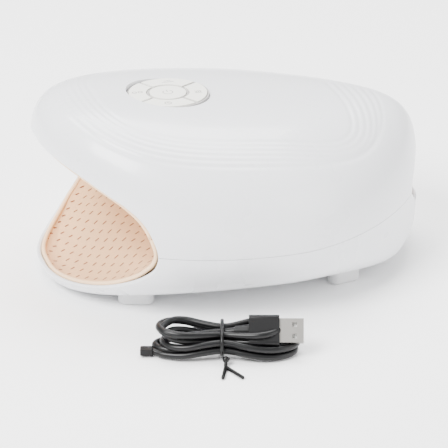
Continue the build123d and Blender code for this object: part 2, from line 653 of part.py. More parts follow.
plug_space = Pos(PLUG_GRIP[0] / 2 + PLUG_METAL[0] / 2 - RELIEF_LENGTH / 2, 0, 0) * Box(
    PLUG_GRIP[0] + PLUG_METAL[0] + RELIEF_LENGTH, PLUG_GRIP[1] + 2 * FIT, PLUG_GRIP[2] + 2 * FIT)
tie_x, waist_half, waist_low, waist_high = HANK_STATIONS[4]
tie_out = TIE_RADIUS + TIE_FIT
tie_tall = (waist_high - waist_low) / 2 + tie_out
tie_middle = (waist_high + waist_low) / 2
tie_ring = oval(waist_half + tie_out, tie_tall, tie_tall, HANK_ROUNDNESS, HANK_ROUNDNESS)
tie_path = [(tie_x, y, tie_middle + z) for y, z in tie_ring]
tie_curve = Spline(*tie_path, periodic=True)
tie_loop = sweep(Plane(origin=tie_curve @ 0, z_dir=tie_curve % 0) * Circle(TIE_RADIUS), path=tie_curve)
tie_loop += Pos(*TIE_KNOT) * Sphere(TIE_KNOT_RADIUS)
tie_loop += wire(TIE_KNOT, TIE_BEND)
for tail_end in TIE_TAILS:
    tie_loop += wire(TIE_BEND, tail_end)
hank_solid = hank() - plug_frame * plug_space
end_plug_x = HANK_STATIONS[0][0] - END_PLUG[0] / 2
end_plug = Pos(end_plug_x, END_PLUG_Y, HANK_STATIONS[0][2] + END_PLUG[2] / 2) * Box(*END_PLUG)
save("cable_hank", hank_frame * hank_solid)
save("usb_grip", hank_frame * plug_frame * grip)
save("usb_shell", hank_frame * plug_frame * metal)
save("usb_insert", hank_frame * plug_frame * insert)
save("cable_relief", hank_frame * plug_frame * relief)
save("device_plug", hank_frame * end_plug)
save("twist_tie", hank_frame * tie_loop)
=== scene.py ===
import logging
import math
from dataclasses import dataclass, field
from enum import Enum

import bmesh
import bpy
import numpy as np
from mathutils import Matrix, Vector


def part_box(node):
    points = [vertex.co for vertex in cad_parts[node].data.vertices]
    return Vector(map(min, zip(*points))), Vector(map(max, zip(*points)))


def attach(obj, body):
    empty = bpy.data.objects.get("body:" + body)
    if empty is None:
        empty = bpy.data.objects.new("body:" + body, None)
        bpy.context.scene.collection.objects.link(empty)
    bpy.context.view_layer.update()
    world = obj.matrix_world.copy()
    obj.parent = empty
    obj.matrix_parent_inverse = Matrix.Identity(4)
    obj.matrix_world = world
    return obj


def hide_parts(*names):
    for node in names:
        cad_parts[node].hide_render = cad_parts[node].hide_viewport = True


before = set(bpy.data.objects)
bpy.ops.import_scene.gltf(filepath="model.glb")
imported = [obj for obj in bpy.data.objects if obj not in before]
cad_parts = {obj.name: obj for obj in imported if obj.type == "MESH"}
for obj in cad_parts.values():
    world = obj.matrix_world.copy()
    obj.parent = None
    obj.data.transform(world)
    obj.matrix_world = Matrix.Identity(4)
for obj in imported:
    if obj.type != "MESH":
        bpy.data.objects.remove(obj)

LOG = logging.getLogger("hand_massager")
MM = 0.001
TINY = 1e-9
WELD_DISTANCE = 0.00001
SECTION_SAMPLES = 1500
SPINE_SAMPLES = 3000
TRIM_SAMPLES = 400
TRIM_HALVINGS = 24
END_TURN_DEG = 89.5
FLOOR_REACH_MM = 3000.0
Point = tuple[float, float, float]


def linear(code: str) -> tuple[float, float, float, float]:
    """Turn an sRGB hex colour into linear values.

    Args:
        code: Six hex digits.

    Returns:
        Linear red, green, blue and an alpha of 1.
    """
    parts = [int(code[place:place + 2], 16) / 255 for place in (0, 2, 4)]
    flat = [c / 12.92 if c <= 0.04045 else ((c + 0.055) / 1.055) ** 2.4 for c in parts]
    return (flat[0], flat[1], flat[2], 1.0)


def add_node(tree: bpy.types.NodeTree, kind: str, links: dict | None = None, **settings) -> bpy.types.Node:
    """Add one shader node with its settings and links.

    Args:
        tree: The material's node tree.
        kind: Node type name.
        links: Input name or number to an output socket or a value.
        settings: Attributes set on the node before linking.

    Returns:
        The new node.
    """
    node = tree.nodes.new(kind)
    for name, value in settings.items():
        setattr(node, name, value)
    for name, source in (links or {}).items():
        if isinstance(source, bpy.types.NodeSocket):
            tree.links.new(source, node.inputs[name])
        else:
            node.inputs[name].default_value = source
    return node


@dataclass(frozen=True)
class Finish:
    """A surface finish: what it is made of and how it catches light."""

    name: str
    colour: str
    roughness: float = 0.4
    metallic: float = 0.0
    ior: float = 1.5
    grain_mm: float = 1.0
    grain_height_mm: float = 0.01
    blotch: float = 0.02
    coat: float = 0.0
    specular: float = 0.5

    def material(self) -> bpy.types.Material:
        """Build the material: base colour with slight blotches, grain bump, and even gloss."""
        made = bpy.data.materials.get(self.name)
        if made:
            return made
        made = bpy.data.materials.new(self.name)
        made.use_nodes = True
        tree = made.node_tree
        shader = tree.nodes["Principled BSDF"]
        place = add_node(tree, "ShaderNodeTexCoord").outputs["Object"]
        self.paint(tree, shader, place)
        return made

    def paint(self, tree: bpy.types.NodeTree, shader: bpy.types.Node, place: bpy.types.NodeSocket) -> None:
        """Set the shader's even values and link its colour, roughness and bump.

        Args:
            tree: The node tree.
            shader: The principled shader.
            place: Object coordinates, in metres.
        """
        shader.inputs["Metallic"].default_value = self.metallic
        shader.inputs["IOR"].default_value = self.ior
        shader.inputs["Coat Weight"].default_value = self.coat
        shader.inputs["Specular IOR Level"].default_value = self.specular
        shader.inputs["Coat Roughness"].default_value = 0.08
        blotches = add_node(tree, "ShaderNodeTexNoise", {"Vector": place, "Scale": 40.0, "Detail": 3.0})
        low = [c * (1 - self.blotch) for c in linear(self.colour)[:3]] + [1.0]
        colour = add_node(tree, "ShaderNodeMix", {"Factor": blotches.outputs["Fac"], 6: low,
                                                  7: linear(self.colour)}, data_type="RGBA")
        tree.links.new(colour.outputs[2], shader.inputs["Base Color"])
        rough = add_node(tree, "ShaderNodeMapRange", {"Value": blotches.outputs["Fac"],
                                                      "To Min": self.roughness * 0.9,
                                                      "To Max": min(self.roughness * 1.1, 1.0)})
        tree.links.new(rough.outputs["Result"], shader.inputs["Roughness"])
        grain = add_node(tree, "ShaderNodeTexNoise", {"Vector": place, "Scale": 1 / (self.grain_mm * MM),
                                                      "Detail": 2.0})
        bump = add_node(tree, "ShaderNodeBump", {"Height": grain.outputs["Fac"], "Strength": 1.0,
                                                 "Distance": self.grain_height_mm * MM})
        tree.links.new(bump.outputs["Normal"], shader.inputs["Normal"])


@dataclass(frozen=True)
class PerforatedMesh(Finish):
    """Warp-knit mesh fabric, punched with slanted slots; its pattern lies in the piece's own millimetres."""

    thread_mm: float = 0.9
    hole_pitch_mm: float = 7.2
    row_pitch_mm: float = 5.6
    hole_half_length_mm: float = 0.75
    hole_radius_mm: float = 0.55
    hole_slant_deg: float = 20.0
    # Colour of the slots is painted shade: a darker copy of the beige that stands in for the depth of the
    # holes.
    painted_hole_shade: str = "8E4A22"

    def paint(self, tree: bpy.types.NodeTree, shader: bpy.types.Node, place: bpy.types.NodeSocket) -> None:
        """Weave, slots filled with painted shade, and a soft sheen, from the millimetre layout stored on the
        piece.

        Args:
            tree: The node tree.
            shader: The principled shader.
            place: Object coordinates, unused because the layout follows the cloth.
        """
        shader.inputs["Sheen Weight"].default_value = 0.25
        shader.inputs["Sheen Roughness"].default_value = 0.5
        shader.inputs["Roughness"].default_value = self.roughness
        layout = add_node(tree, "ShaderNodeUVMap", uv_map="cloth_mm").outputs["UV"]
        axes = add_node(tree, "ShaderNodeSeparateXYZ", {0: layout})

        def math_node(operation: str, *values) -> bpy.types.NodeSocket:
            """One arithmetic step on sockets or numbers."""
            return add_node(tree, "ShaderNodeMath", dict(enumerate(values)), operation=operation).outputs[0]

        along = math_node("DIVIDE", axes.outputs["Y"], self.hole_pitch_mm)
        across = math_node("DIVIDE", axes.outputs["X"], self.row_pitch_mm)
        row = math_node("FLOOR", across)
        stagger = math_node("MULTIPLY", math_node("MODULO", row, 2.0), 0.5)
        cell_along = math_node("FRACT", math_node("ADD", along, stagger))
        cell_x = math_node("MULTIPLY", math_node("SUBTRACT", cell_along, 0.5), self.hole_pitch_mm)
        cell_y = math_node("MULTIPLY", math_node("SUBTRACT", math_node("FRACT", across), 0.5),
                           self.row_pitch_mm)
        sine = math.sin(math.radians(self.hole_slant_deg))
        cosine = math.cos(math.radians(self.hole_slant_deg))
        lengthwise = math_node("ADD", math_node("MULTIPLY", cell_x, cosine),
                               math_node("MULTIPLY", cell_y, sine))
        sideways = math_node("SUBTRACT", math_node("MULTIPLY", cell_y, cosine),
                             math_node("MULTIPLY", cell_x, sine))
        beyond = math_node("MAXIMUM", math_node("SUBTRACT", math_node("ABSOLUTE", lengthwise),
                                                self.hole_half_length_mm), 0.0)
        distance = math_node("SQRT", math_node("ADD", math_node("MULTIPLY", beyond, beyond),
                                               math_node("MULTIPLY", sideways, sideways)))
        open_part = add_node(tree, "ShaderNodeMapRange", {"Value": distance,
                                                          "From Min": self.hole_radius_mm - 0.15,
                                                          "From Max": self.hole_radius_mm + 0.15,
                                                          "To Min": 1.0, "To Max": 0.0}).outputs["Result"]
        warp = math_node("SINE", math_node("MULTIPLY", axes.outputs["X"], math.tau / self.thread_mm))
        weft = math_node("SINE", math_node("MULTIPLY", axes.outputs["Y"], math.tau / self.thread_mm))
        weave = math_node("MULTIPLY", warp, weft)
        dark = [c * 0.86 for c in linear(self.colour)[:3]] + [1.0]
        shade = add_node(tree, "ShaderNodeMapRange", {"Value": weave, "From Min": -1.0, "From Max": 1.0})
        cloth = add_node(tree, "ShaderNodeMix", {"Factor": shade.outputs["Result"], 6: dark,
                                                 7: linear(self.colour)}, data_type="RGBA")
        # Painted shade in the slots: inside each slot the fabric colour gives way to the darker shade colour.
        punched = add_node(tree, "ShaderNodeMix", {"Factor": open_part, 6: cloth.outputs[2],
                                                   7: linear(self.painted_hole_shade)}, data_type="RGBA")
        tree.links.new(punched.outputs[2], shader.inputs["Base Color"])
        relief = math_node("SUBTRACT", math_node("MULTIPLY", weave, 0.12), open_part)
        bump = add_node(tree, "ShaderNodeBump", {"Height": relief, "Strength": 0.8, "Distance": 0.5 * MM})
        tree.links.new(bump.outputs["Normal"], shader.inputs["Normal"])


# Injection-moulded ABS from a polished tool: white, smooth, with a broad soft gloss.
WHITE_ABS = Finish("white_moulded_abs", "E2E3E6", roughness=0.28, grain_mm=2.5,
                   grain_height_mm=0.004, coat=0.25)
# Textured ABS of the panel base: the grey lines between the keys.
GREY_ABS = Finish("grey_moulded_abs", "A3A09E", roughness=0.5, grain_mm=0.5)
# Key caps, ivory ABS with a satin face.
IVORY_ABS = Finish("ivory_satin_abs", "E9E8E0", roughness=0.42, grain_mm=0.6)
# Pad-printed ink of the key symbols.
KEY_INK = Finish("grey_printed_ink", "8F8C89", roughness=0.6)
# Warp-knit polyester mesh, punched: peach beige, matt, darker where the light does not reach; its slots are
# painted in a darker shade.
BEIGE_MESH = PerforatedMesh("beige_punched_mesh", "F4C795", roughness=0.85)
# Heat-cut binding at the mesh's edges, plain knit of the same yarn.
BEIGE_BINDING = Finish("beige_knit_binding", "F6D2A8", roughness=0.9, grain_mm=0.5, grain_height_mm=0.08)
# Moulded soft rubber of the feet, pale grey and matt.
FOOT_RUBBER = Finish("grey_moulded_rubber", "DADADB", roughness=0.75, grain_mm=0.4, grain_height_mm=0.02)
# PVC cord jacket, extruded, black with a soft gloss.
CORD_PVC = Finish("black_extruded_pvc", "060607", roughness=0.34, grain_mm=0.8,
                  grain_height_mm=0.01, specular=0.3)
# Overmoulded plug grip, black PVC with a fine spark-eroded texture.
GRIP_PVC = Finish("black_moulded_pvc", "060607", roughness=0.45, grain_mm=0.35,
                  grain_height_mm=0.02, specular=0.25)
# Nickel-plated steel of the plug's shell, folded from sheet.
NICKEL = Finish("nickel_plated_steel", "A5A29D", roughness=0.34, metallic=1.0, grain_mm=0.3,
                grain_height_mm=0.004)
# Black plastic-covered twist wire.
TIE_PLASTIC = Finish("black_tie_plastic", "050505", roughness=0.35, specular=0.3)
# White thermoplastic insert inside the plug.
INSERT_PLASTIC = Finish("white_plug_insert", "DADAD6", roughness=0.45)
# Zinc-plated steel screws and cans.
ZINC = Finish("zinc_plated_steel", "A8A9AA", roughness=0.35, metallic=1.0, grain_mm=0.2,
              grain_height_mm=0.004)
# Glass-epoxy board with solder resist.
GREEN_BOARD = Finish("green_solder_resist", "1F5A34", roughness=0.35, grain_mm=0.6)
# Translucent silicone of mat, diaphragm and hoses.
SILICONE = Finish("grey_moulded_silicone", "C4C4BF", roughness=0.55)
# TPU film of the air bags.
BAG_FILM = Finish("welded_tpu_film", "B9BEC2", roughness=0.3)
# Grey ABS of the inner frames.
FRAME_ABS = Finish("dark_moulded_abs", "5A5C5F", roughness=0.55, grain_mm=0.6)
# Polyimide heating film.
HEATER_FILM = Finish("amber_polyimide_film", "C87A2C", roughness=0.3)
# Black engineering plastic of pump, valves and tee.
PUMP_PLASTIC = Finish("black_glass_filled_nylon", "202124", roughness=0.6, grain_mm=0.5)
# Aluminium laminate pouch of the battery.
POUCH_FOIL = Finish("aluminium_pouch_foil", "C3C5C7", roughness=0.35, metallic=0.9)
# Black foam tape.
FOAM_TAPE = Finish("black_foam_tape", "242424", roughness=0.95, grain_mm=0.8, grain_height_mm=0.1)
# Matt white paper sweep of the studio floor.
FLOOR_PAPER = Finish("white_paper_sweep", "FFFFFF", roughness=0.9, blotch=0.0)

NODE_FINISHES: dict[str, Finish] = {
    "panel_base": GREY_ABS, "power_key": IVORY_ABS, "heat_key": IVORY_ABS, "mode_key": IVORY_ABS,
    "strength_key": IVORY_ABS, "timer_key": IVORY_ABS, "key_mat": SILICONE, "control_board": GREEN_BOARD,
    "main_board": GREEN_BOARD, "board_screws": ZINC, "upper_frame": FRAME_ABS, "lower_frame": FRAME_ABS,
    "back_air_bag": BAG_FILM, "palm_air_bag": BAG_FILM, "heating_film": HEATER_FILM, "pump_motor": ZINC,
    "pump_head": PUMP_PLASTIC, "pump_eccentric": ZINC, "pump_diaphragm": SILICONE, "palm_valve": PUMP_PLASTIC,
    "back_valve": PUMP_PLASTIC, "palm_valve_plunger": ZINC, "back_valve_plunger": ZINC,
    "hose_tee": PUMP_PLASTIC, "feed_hoses": SILICONE, "back_bag_hose": SILICONE, "palm_bag_hose": SILICONE,
    "battery_pack": POUCH_FOIL, "battery_foam": FOAM_TAPE, "charge_port": ZINC, "charge_board": GREEN_BOARD,
    "case_screws": ZINC, "front_left_foot": FOOT_RUBBER, "front_right_foot": FOOT_RUBBER,
    "rear_left_foot": FOOT_RUBBER, "rear_right_foot": FOOT_RUBBER, "usb_grip": GRIP_PVC,
    "usb_shell": NICKEL, "usb_insert": INSERT_PLASTIC, "cable_relief": GRIP_PVC, "device_plug": GRIP_PVC,
}
ROUNDED_NODES: dict[str, float] = {
    "power_key": 0.35, "heat_key": 0.35, "mode_key": 0.35, "strength_key": 0.35, "timer_key": 0.35,
    "front_left_foot": 0.3, "front_right_foot": 0.3, "rear_left_foot": 0.3, "rear_right_foot": 0.3,
    "usb_grip": 0.5, "usb_shell": 0.1, "device_plug": 0.7, "panel_base": 0.15, "cable_relief": 0.2,
}


def smooth_curve(points: tuple[tuple[float, float], ...], per_span: int = 24) -> np.ndarray:
    """Smooth line through the points of a side-view outline.

    Args:
        points: Outline points, each (distance from the end, height).
        per_span: Samples in each span.

    Returns:
        Array of samples along the line.
    """
    given = np.array(points, float)
    ends = np.vstack([2 * given[0] - given[1], given, 2 * given[-1] - given[-2]])
    knots = np.concatenate([[0], np.cumsum(np.sqrt(np.linalg.norm(np.diff(ends, axis=0), axis=1)))])
    samples = []
    for span in range(1, len(ends) - 2):
        t0, t1, t2, t3 = knots[span - 1:span + 3]
        p0, p1, p2, p3 = ends[span - 1:span + 3]
        t = np.linspace(t1, t2, per_span, endpoint=False)[:, None]
        a1 = (t1 - t) / (t1 - t0) * p0 + (t - t0) / (t1 - t0) * p1
        a2 = (t2 - t) / (t2 - t1) * p1 + (t - t1) / (t2 - t1) * p2
        a3 = (t3 - t) / (t3 - t2) * p2 + (t - t2) / (t3 - t2) * p3
        b1 = (t2 - t) / (t2 - t0) * a1 + (t - t0) / (t2 - t0) * a2
        b2 = (t3 - t) / (t3 - t1) * a2 + (t - t1) / (t3 - t1) * a3
        samples.append((t2 - t) / (t2 - t1) * b1 + (t - t1) / (t2 - t1) * b2)
    samples.append(given[-1:])
    return np.vstack(samples)


@dataclass
class PodForm:
    """The pod's outside as a formula, in millimetres, the same one the frame was made with."""

    length: float = 211.5
    half_width: float = 90.5
    waist_z: float = 38.6
    crown_rise: float = 55.8
    belly_drop: float = 30.1
    widest_x: float = 8.4
    crown_peak_x: float = -39.9
    belly_peak_x: float = -18.2
    width_powers: tuple[float, float] = (2.33, 1.71)
    crown_powers: tuple[float, float] = (5.8, 3.7)
    belly_powers: tuple[float, float] = (5.87, 2.9)
    width_taper: tuple[float, float, float] = (0.0, -0.116, 0.0)
    crown_taper: tuple[float, float, float] = (-0.155, 0.097, 0.129)
    belly_taper: tuple[float, float, float] = (0.047, 0.509, 0.0)
    upper_roundness: tuple[float, float] = (2.59, -0.76)
    least_roundness: float = 2.0
    lower_roundness: float = 3.12
    rear_squareness: float = 16.0
    most_roundness: float = 8.0
    mouth: tuple[tuple[float, float], ...] = (
        (-6, 84), (4.3, 78.8), (14.6, 73.8), (23, 68.8), (32.5, 62.7), (39.5, 55.5), (43.7, 46.9),
        (45.7, 38.6), (44.2, 32), (39.2, 26.3), (30.7, 20), (21.3, 14.5), (10, 10.5), (-6, 9))
    rear: tuple[tuple[float, float], ...] = (
        (-6, 64), (2, 58), (8, 52), (12.5, 45), (13, 37), (9, 31), (2, 28.5), (-6, 28))

    def __post_init__(self) -> None:
        """Work out the two openings' side-view depth against height."""
        self.nose_x = -self.length / 2
        self.tail_x = self.length / 2
        self.mouth_line = smooth_curve(self.mouth)[::-1]
        self.rear_line = smooth_curve(self.rear)[::-1]

    def mouth_depth(self, z: np.ndarray) -> np.ndarray:
        """How far behind the nose the mouth reaches at a height; negative where it does not."""
        return np.interp(z, self.mouth_line[:, 1], self.mouth_line[:, 0], left=-99, right=-99)

    def rear_depth(self, z: np.ndarray) -> np.ndarray:
        """How far ahead of the tail the rear opening reaches at a height."""
        return np.interp(z, self.rear_line[:, 1], self.rear_line[:, 0], left=-99, right=-99)

    def taper(self, x: np.ndarray, terms: tuple[float, float, float]) -> np.ndarray:
        """Gentle change of a height or width along the pod."""
        share = x / self.tail_x
        return 1 + sum(term * share ** (order + 1) for order, term in enumerate(terms))

    def swell(self, x: np.ndarray, peak: float, powers: tuple[float, float], inset: float) -> np.ndarray:
        """Superellipse outline: 0 at either end, 1 at the peak."""
        front = (peak - x) / (peak - self.nose_x - inset)
        rear = (x - peak) / (self.tail_x - inset - peak)
        ahead = x < peak
        share = np.clip(np.where(ahead, front, rear), 0, 1)
        power = np.where(ahead, powers[0], powers[1])
        return np.maximum(1 - share ** power, 0) ** (1 / power)

    def size(self, x: np.ndarray, inset: float = 0.0) -> tuple[np.ndarray, ...]:
        """Half width, rise, drop and upper exponent of the pod at x.

        Args:
            x: Places along the pod.
            inset: How far inside the outer surface.

        Returns:
            Half width, crown rise, belly drop and the two section exponents.
        """
        wide = (self.half_width * self.taper(x, self.width_taper) - inset)
        wide = wide * self.swell(x, self.widest_x, self.width_powers, inset)
        rise = (self.crown_rise * self.taper(x, self.crown_taper) - inset)
        rise = rise * self.swell(x, self.crown_peak_x, self.crown_powers, inset)
        drop = (self.belly_drop * self.taper(x, self.belly_taper) - inset)
        drop = drop * self.swell(x, self.belly_peak_x, self.belly_powers, inset)
        upper = np.maximum(self.upper_roundness[0] + self.upper_roundness[1] * x / self.tail_x,
                           self.least_roundness)
        square = self.rear_squareness * np.maximum(x / self.tail_x, 0) ** 4
        lower = np.minimum(self.lower_roundness + square, self.most_roundness)
        return wide, rise, drop, upper, lower

    def surface(self, turn: np.ndarray, angle: np.ndarray) -> np.ndarray:
        """Point of the outer surface.

        Args:
            turn: Position along the pod as an angle, -90 degrees at the nose and 90 at the tail.
            angle: Angle round the section, 0 at the waist and 90 degrees at the crown.

        Returns:
            Array of points, in millimetres.
        """
        x = self.tail_x * np.sin(turn)
        wide, rise, drop, upper, lower = self.size(x)
        across = np.cos(angle)
        high = np.sin(angle)
        power = np.where(high >= 0, upper, lower)
        y = wide * np.sign(across) * np.abs(across) ** (2 / power)
        z = self.waist_z + np.where(high >= 0, rise, drop) * np.sign(high) * np.abs(high) ** (2 / power)
        return np.stack([x + 0 * y, y, z], axis=-1)

    def trim(self, point, angle: float) -> tuple[float, float]:
        """Where a line along the pod meets the mouth's rim and the rear opening's rim.

        Args:
            point: Function of (turn, angle) that gives a surface point.
            angle: Angle round the section.

        Returns:
            The two turns, in radians.
        """
        limit = math.radians(END_TURN_DEG)
        ends = []
        for sense in (-1, 1):
            turns = np.linspace(0, sense * limit, TRIM_SAMPLES)
            places = point(turns, np.full_like(turns, angle))
            if sense < 0:
                gone = places[:, 0] < self.nose_x + self.mouth_depth(places[:, 2])
            else:
                gone = places[:, 0] > self.tail_x - self.rear_depth(places[:, 2])
            if not gone.any():
                ends.append(sense * limit)
                continue
            first = int(gone.argmax())
            near, far = turns[first - 1], turns[first]
            for _ in range(TRIM_HALVINGS):
                middle = (near + far) / 2
                place = point(np.array([middle]), np.array([angle]))[0]
                if sense < 0:
                    out = place[0] < self.nose_x + self.mouth_depth(place[2])
                else:
                    out = place[0] > self.tail_x - self.rear_depth(place[2])
                near, far = (near, middle) if out else (middle, far)
            ends.append(near)
        return ends[0], ends[1]


def even_steps(line: np.ndarray, count: int) -> np.ndarray:
    """Shares along a sampled line that space points evenly.

    Args:
        line: Sampled points at even parameter steps.
        count: How many shares to give.

    Returns:
        Parameter shares from 0 to 1.
    """
    lengths = np.concatenate([[0], np.cumsum(np.linalg.norm(np.diff(line, axis=0), axis=1))])
    wanted = np.linspace(0, lengths[-1], count)
    return np.interp(wanted, lengths, np.linspace(0, 1, len(line)))


def grid_normals(points: np.ndarray) -> np.ndarray:
    """Unit normals of a grid of points, facing along the cross product of its two directions."""
    down = np.gradient(points, axis=0)
    across = np.gradient(points, axis=1)
    normal = np.cross(down, across)
    return normal / np.maximum(np.linalg.norm(normal, axis=-1, keepdims=True), 1e-12)


def mesh_object(name: str, points: np.ndarray, faces: list[tuple[int, ...]],
                finish: Finish) -> bpy.types.Object:
    """Make a smooth-shaded mesh object from millimetre points.

    Args:
        name: Object name.
        points: Vertex places in millimetres.
        faces: Vertex numbers of each face.
        finish: The piece's finish.

    Returns:
        The new object, linked to the scene.
    """
    mesh = bpy.data.meshes.new(name)
    mesh.from_pydata((points * MM).tolist(), [], faces)
    mesh.update()
    work = bmesh.new()
    work.from_mesh(mesh)
    bmesh.ops.recalc_face_normals(work, faces=work.faces)
    work.to_mesh(mesh)
    work.free()
    mesh.shade_smooth()
    mesh.materials.append(finish.material())
    made = bpy.data.objects.new(name, mesh)
    bpy.context.scene.collection.objects.link(made)
    return made


def grid_faces(rows: int, columns: int, start: int = 0, closed: bool = False) -> list[tuple[int, ...]]:
    """Quads of a grid of vertices stored row by row.

    Args:
        rows: Number of rows.
        columns: Number of columns.
        start: Number of the first vertex.
        closed: True where the last column joins the first.

    Returns:
        List of quads.
    """
    faces = []
    spans = columns if closed else columns - 1
    for row in range(rows - 1):
        for column in range(spans):
            after = (column + 1) % columns
            a = start + row * columns
            b = a + columns
            faces.append((a + column, a + after, b + after, b + column))
    return faces


def apply_modifiers(item: bpy.types.Object) -> None:
    """Bake every modifier of an object into its mesh."""
    graph = bpy.context.evaluated_depsgraph_get()
    baked = bpy.data.meshes.new_from_object(item.evaluated_get(graph))
    item.modifiers.clear()
    item.data = baked


def cut_away(item: bpy.types.Object, cutters: list[bpy.types.Object]) -> None:
    """Subtract cutters from a mesh object and bake the result.

    Args:
        item: The object that is cut.
        cutters: Closed objects, removed afterwards.
    """
    for cutter in cutters:
        cut = item.modifiers.new("cut", "BOOLEAN")
        cut.object = cutter
        cut.operation = "DIFFERENCE"
        cut.solver = "EXACT"
    apply_modifiers(item)
    for cutter in cutters:
        bpy.data.objects.remove(cutter)


def round_cutter(name: str, centre: Point, radius: float, low: float, high: float,
                 sides: int = 96) -> bpy.types.Object:
    """Upright round cutter.

    Args:
        name: Object name.
        centre: Centre in plan, in millimetres; its height is unused.
        radius: Radius in millimetres.
        low: Bottom height.
        high: Top height.
        sides: Number of sides.

    Returns:
        The cutter object.
    """
    angles = np.linspace(0, math.tau, sides, endpoint=False)
    ring = np.stack([centre[0] + radius * np.cos(angles), centre[1] + radius * np.sin(angles)], axis=-1)
    bottom = np.column_stack([ring, np.full(sides, low)])
    top = np.column_stack([ring, np.full(sides, high)])
    faces = grid_faces(2, sides, closed=True)
    faces.append(tuple(range(sides)))
    faces.append(tuple(range(sides, 2 * sides)))
    return mesh_object(name, np.vstack([bottom, top]), faces, WHITE_ABS)


@dataclass
class RingGrooves:
    """Six shallow concentric rings on the top, from the inner curve to the outer one."""

    count: int = 6
    depth: float = 0.42
    half_width: float = 0.95
    inner: tuple[float, float, float] = (73.3, 59.0, 56.3)
    outer: tuple[float, float, float] = (91.0, 81.5, 71.5)
    inner_powers: tuple[float, float] = (2.9, 4.0)
    outer_powers: tuple[float, float] = (2.5, 2.2)

    def sink(self, points: np.ndarray) -> np.ndarray:
        """Depth of the grooves at each point, from its plan place.

        Args:
            points: Grid of surface points in millimetres.

        Returns:
            Depth in millimetres at each point.
        """
        x = points[..., 0]
        y = np.abs(points[..., 1])
        rear = 1 / (1 + np.exp(-x / 6.0))
        total = np.zeros_like(x)
        for ring in range(self.count):
            share = ring / (self.count - 1)
            reaches = [a + share * (b - a) for a, b in zip(self.inner, self.outer)]
            front_reach, rear_reach, side_reach = reaches
            front_power, rear_power = [a + share * (b - a)
                                       for a, b in zip(self.inner_powers, self.outer_powers)]
            power = front_power * (1 - rear) + rear_power * rear
            reach = np.where(x < 0, front_reach, rear_reach)
            along = np.abs(x) / reach
            aside = y / side_reach
            level = along ** power + aside ** power
            slope = power * np.sqrt((along ** (power - 1) / reach) ** 2
                                    + (aside ** (power - 1) / side_reach) ** 2)
            distance = (level - 1) / np.maximum(slope, 1e-6)
            total += self.depth * np.exp(-(distance / self.half_width) ** 2)
        return total


